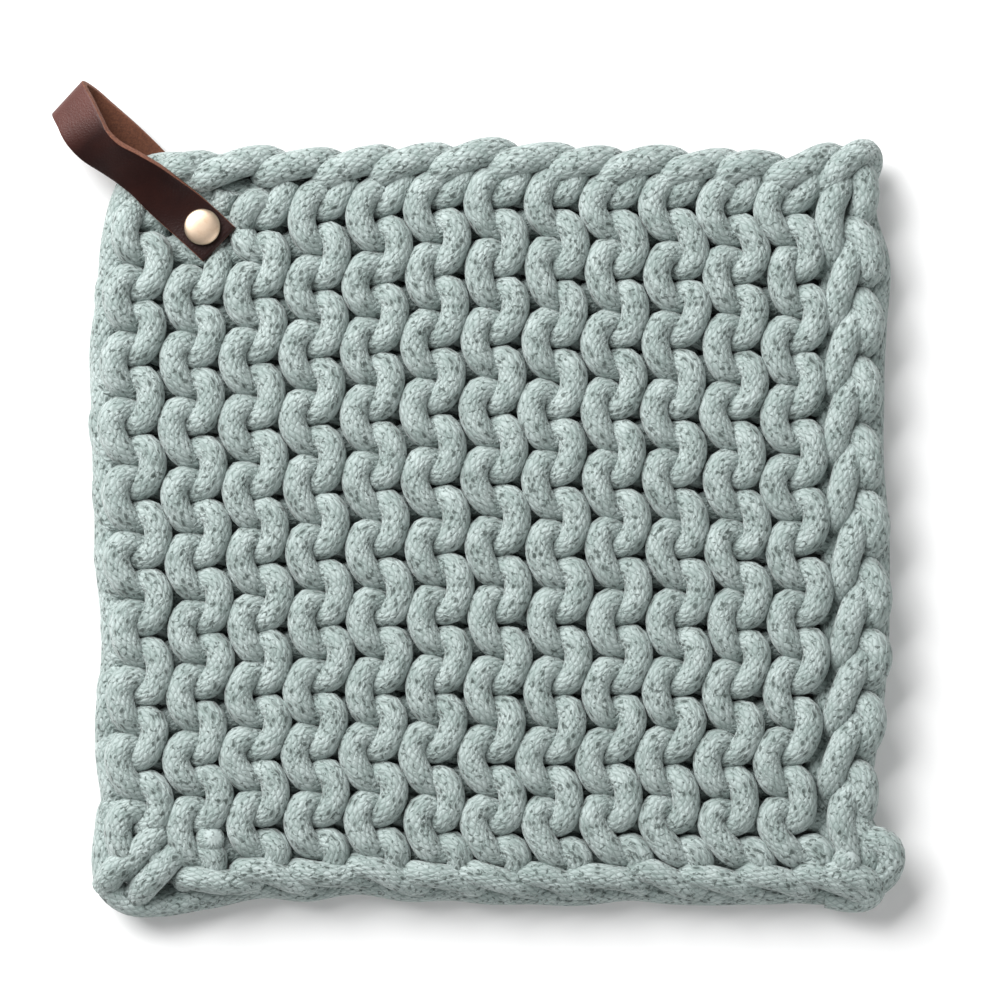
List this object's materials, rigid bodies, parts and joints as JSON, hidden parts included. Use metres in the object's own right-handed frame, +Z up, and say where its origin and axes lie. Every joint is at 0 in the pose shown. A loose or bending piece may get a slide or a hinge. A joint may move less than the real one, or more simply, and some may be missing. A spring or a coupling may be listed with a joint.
{
  "type": "pot holder",
  "caption": "Square garter-stitch pot holder of thick braided cotton cord that lies flat, with a riveted leather hanging loop at one corner.",
  "frame": {"origin": "middle of the panel's flat underside, where it lies on the surface", "axes": "+Z up out of the face, +Y along the knitted ridges, +X across them from the cast-on to the bound-off edge"},
  "size_m": [0.2156, 0.2126, 0.0177],
  "materials": {
    "cotton_cord": "matte braided cotton, sage green melange",
    "strap_leather": "oiled dark-brown leather, smooth grain side out",
    "rivet_brass": "pale polished brass"
  },
  "bodies": {
    "root": {"knit_panel": "cotton_cord", "hanging_strap": "strap_leather", "rivet_cap": "rivet_brass", "rivet_post": "rivet_brass"}
  },
  "joints": []
}
